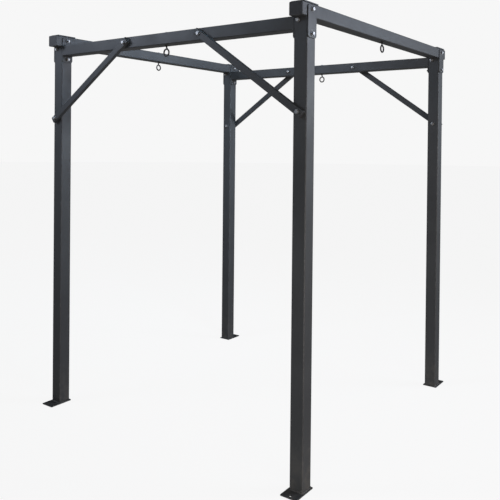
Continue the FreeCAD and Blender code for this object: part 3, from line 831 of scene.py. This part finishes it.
def make_eye(name):
    """An eye bolt under the middle of a beam, and its lock nut on top."""
    node = f"eye_bolt_{name}"
    low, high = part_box(node)
    beam_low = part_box(f"{name}_beam")[0]
    across = AXES["X"] if name in ENDS else AXES["Y"]
    middle = (low + high) / 2
    seat = Vector((middle.x, middle.y, beam_low.z))
    place = axis_frame(seat, AXES["Z"], across)
    body = f"eye_{name}"

    bm = new_mesh()
    rod(bm, place, eye_line(low.z + EYE_RING + EYE_ROD - seat.z), EYE_ROD)
    make_piece(bm, f"{node}_ring", body, "oxide", node)

    bm = new_mesh()
    collar_top = -EYE_PLAY
    levels = ((EYE_SHANK - 0.001, collar_top, 0), (EYE_COLLAR - 0.0006, collar_top, 0.5),
              (EYE_COLLAR, collar_top - 0.0006, 1), (EYE_COLLAR, collar_top - 0.0022, 1),
              (EYE_COLLAR - 0.0010, collar_top - 0.0034, 0.6), (EYE_SHANK + 0.0016, -0.0046, 0.2),
              (EYE_ROD + 0.0004, -0.0070, 0), (EYE_SHANK - 0.001, -0.0074, 0))
    rings = [(raised(circle(radius, 32), z), weight) for radius, z, weight in levels]
    skin(bm, place, rings, closed=True)
    make_piece(bm, f"{node}_collar", body, "oxide")

    bm = new_mesh()
    start = -0.0040
    length = high.z - seat.z - start
    lift = Matrix.Translation((0, 0, start))
    threaded_end(bm, place @ lift, EYE_SHANK, length, length - EYE_THREADED, EYE_THREAD_PITCH)
    make_piece(bm, f"{node}_shank", body, "oxide")

    nut_low, nut_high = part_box(f"eye_nut_{name}")
    nut_seat = Vector((seat.x, seat.y, nut_low.z))
    height = nut_high.z - nut_low.z
    nut_place = axis_frame(nut_seat, AXES["Z"], across)
    bm = new_mesh()
    hexagon_nut(bm, nut_place, EYE_NUT_FLATS, 0.72 * height, EYE_SHANK + EYE_PLAY)
    levels = ((EYE_SHANK + 0.0013, 0.70 * height, 0), (EYE_NUT_NECK, 0.70 * height, 0),
              (EYE_NUT_NECK, 0.90 * height, 0.5), (EYE_NUT_NECK - 0.0004, 0.97 * height, 1),
              (EYE_NUT_NECK - 0.0009, height, 1), (EYE_NUT_MOUTH, 0.97 * height, 0.5),
              (EYE_NUT_MOUTH, 0.72 * height, 0))
    rings = [(raised(circle(radius), z), weight) for radius, z, weight in levels]
    skin(bm, nut_place, rings, closed=True)
    make_piece(bm, f"eye_nut_{name}_locking", body, "zinc", f"eye_nut_{name}")

    bm = new_mesh()
    insert = EYE_NUT_MOUTH - EYE_PLAY
    levels = ((EYE_SHANK + EYE_PLAY, 0.74 * height, 0), (insert, 0.74 * height, 0),
              (insert, 0.93 * height, 0.4), (EYE_SHANK + 0.0004, 0.93 * height, 0.6))
    rings = [(raised(circle(radius), z), weight) for radius, z, weight in levels]
    skin(bm, nut_place, rings, closed=True)
    make_piece(bm, f"eye_nut_{name}_insert", body, "plastic")


def make_eye_washers():
    bm = new_mesh()
    for low, high in solids("eye_washers"):
        middle = (low + high) / 2
        place = axis_frame(Vector((middle.x, middle.y, low.z)), AXES["Z"])
        washer(bm, place, EYE_SHANK + EYE_PLAY, (high.x - low.x) / 2, high.z - low.z)
    make_piece(bm, "eye_washers_stamped", "stand", "zinc", "eye_washers")


# ---- the stand ----

def make_stand():
    for end, side in CORNERS:
        make_tube(f"post_{end}_{side}", "Z")
        make_foot(f"foot_plate_{end}_{side}", side)
        make_bolted_plate(f"outer_clamp_plate_{end}_{side}")
        make_bolted_plate(f"beam_end_plate_{end}_{side}")
        make_top_plate(f"corner_top_plate_{end}_{side}")
        make_beam_cap(f"{end}_beam_cap_{side}", side)
        make_foot_weld(end, side)
        make_end_plate_weld(end, side)
        make_top_plate_weld(end, side)
    for end in ENDS:
        make_tube(f"{end}_beam", "X")
    for side in SIDES:
        make_tube(f"{side}_beam", "Y")
    make_braces()
    post_low, post_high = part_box("post_rear_right")
    make_fasteners("plate_bolt", "Y", (post_low.y + post_high.y) / 2)
    make_fasteners("brace_bolt", "X", (post_low.x + post_high.x) / 2)
    make_fasteners("cross_bolt", "X", (post_low.x + post_high.x) / 2)
    make_eye_washers()
    for name in ENDS + SIDES:
        make_eye(name)


# ---- stage, light and camera ----

BACKGROUND = 0.93
FLOOR_SHADE = 0.10
FLOOR_GLOW = 0.905
FLOOR_GAP = 0.0005
STAGE_RADIUS = 60.0
# The strength of the soft light from below and from above.
SKY_LOW = 0.20
SKY_HIGH = 0.045
SKY_COLOUR = (0.97, 0.985, 1.0)
CAMERA_PLACE = (-3.6827, -2.7364, 1.7566)
CAMERA_YAW = math.radians(34.919)
CAMERA_PITCH = math.radians(-0.484)
CAMERA_ROLL = math.radians(0.568)
CAMERA_LENS = 46.585
CAMERA_SHIFT = (-0.05015, -0.19824)


def stage_material(name, glow, shade):
    """A pale surface that mostly glows, so that the studio has no visible horizon."""
    material = bpy.data.materials.new(name)
    material.use_nodes = True
    shader = material.node_tree.nodes["Principled BSDF"]
    shader.inputs["Base Color"].default_value = (shade, shade, shade, 1)
    shader.inputs["Roughness"].default_value = 1.0
    shader.inputs["Specular IOR Level"].default_value = 0.0
    shader.inputs["Emission Color"].default_value = (1, 1, 1, 1)
    shader.inputs["Emission Strength"].default_value = glow
    return material


def seen_only(stage_piece):
    """Keeps the stage from lighting the object: the lamps and the world do that."""
    stage_piece.visible_diffuse = False
    stage_piece.visible_glossy = False
    stage_piece.visible_shadow = False


def make_stage():
    bm = bmesh.new()
    bmesh.ops.create_circle(bm, cap_ends=True, radius=STAGE_RADIUS, segments=96)
    mesh = bpy.data.meshes.new("floor")
    bm.to_mesh(mesh)
    bm.free()
    floor = bpy.data.objects.new("floor", mesh)
    floor.location.z = -FLOOR_GAP
    mesh.materials.append(stage_material("pale_floor", FLOOR_GLOW, FLOOR_SHADE))
    bpy.context.scene.collection.objects.link(floor)
    seen_only(floor)
    bm = bmesh.new()
    bmesh.ops.create_icosphere(bm, subdivisions=4, radius=STAGE_RADIUS)
    mesh = bpy.data.meshes.new("backdrop")
    bm.to_mesh(mesh)
    bm.free()
    backdrop = bpy.data.objects.new("backdrop", mesh)
    mesh.materials.append(stage_material("pale_backdrop", BACKGROUND, 0.0))
    bpy.context.scene.collection.objects.link(backdrop)
    seen_only(backdrop)


def make_world():
    """Soft light from all round, stronger from below, as a pale floor throws it back."""
    world = bpy.data.worlds.new("studio")
    bpy.context.scene.world = world
    world.use_nodes = True
    tree = world.node_tree
    direction = tree.nodes.new("ShaderNodeTexCoord").outputs["Generated"]
    split = tree.nodes.new("ShaderNodeSeparateXYZ")
    tree.links.new(direction, split.inputs["Vector"])
    height = tree.nodes.new("ShaderNodeMapRange")
    tree.links.new(split.outputs["Z"], height.inputs["Value"])
    height.inputs["From Min"].default_value = -0.6
    height.inputs["From Max"].default_value = 0.7
    height.inputs["To Min"].default_value = SKY_LOW
    height.inputs["To Max"].default_value = SKY_HIGH
    tree.links.new(height.outputs["Result"], tree.nodes["Background"].inputs["Strength"])
    tree.nodes["Background"].inputs["Color"].default_value = (*SKY_COLOUR, 1)


def make_lamp(name, place, target, size, power, spread, colour):
    """A square soft lamp: its width in metres, its power in watts and its spread in degrees."""
    data = bpy.data.lights.new(name, "AREA")
    data.shape = "SQUARE"
    data.size = size
    data.energy = power
    data.color = colour
    data.spread = math.radians(spread)
    lamp = bpy.data.objects.new(name, data)
    lamp.location = place
    lamp.rotation_mode = "QUATERNION"
    lamp.rotation_quaternion = (Vector(target) - Vector(place)).to_track_quat("-Z", "Y")
    bpy.context.scene.collection.objects.link(lamp)


def make_camera():
    """The camera stands off the front left corner, at eye height, and looks to the rear right one."""
    across = math.cos(CAMERA_PITCH)
    forward = Vector((math.cos(CAMERA_YAW) * across, math.sin(CAMERA_YAW) * across,
                      math.sin(CAMERA_PITCH)))
    level = Vector((math.sin(CAMERA_YAW), -math.cos(CAMERA_YAW), 0))
    overhead = level.cross(forward)
    right = math.cos(CAMERA_ROLL) * level + math.sin(CAMERA_ROLL) * overhead
    up = math.cos(CAMERA_ROLL) * overhead - math.sin(CAMERA_ROLL) * level
    data = bpy.data.cameras.new("camera")
    data.sensor_width = 36.0
    data.lens = CAMERA_LENS
    data.shift_x, data.shift_y = CAMERA_SHIFT
    data.clip_end = 300.0
    camera = bpy.data.objects.new("camera", data)
    turned = Matrix((right, up, -forward)).transposed().to_4x4()
    camera.matrix_world = Matrix.Translation(CAMERA_PLACE) @ turned
    bpy.context.scene.collection.objects.link(camera)
    bpy.context.scene.camera = camera


bpy.context.scene.view_settings.view_transform = "Standard"
make_stand()
make_stage()
make_world()
make_lamp("key", place=(2.8, -5.2, 3.8), target=(0.4, -0.9, 2.6), size=2.4, power=34,
          spread=95, colour=(0.78, 0.81, 1.0))
make_lamp("side_key", place=(4.6, -5.6, 2.6), target=(1.0, -0.9, 2.3), size=2.0, power=30,
          spread=90, colour=(0.83, 0.93, 1.0))
make_lamp("window", place=(-3.2, 2.4, 3.6), target=(-0.9, 0.9, 2.2), size=1.4, power=10,
          spread=70, colour=(0.76, 0.84, 1.0))
make_lamp("overhead", place=(-1.2, -2.2, 4.4), target=(0.2, 0.9, 2.2), size=1.2, power=10,
          spread=50, colour=(0.55, 0.78, 1.0))
make_lamp("low_fill", place=(-2.6, -4.6, 0.7), target=(0.1, -1.0, 0.5), size=1.6, power=28,
          spread=110, colour=(1.0, 0.85, 0.74))
make_lamp("left_fill", place=(-4.4, -2.4, 0.9), target=(-0.9, -1.0, 0.5), size=1.6, power=3.5,
          spread=60, colour=(0.90, 0.97, 1.0))
make_camera()
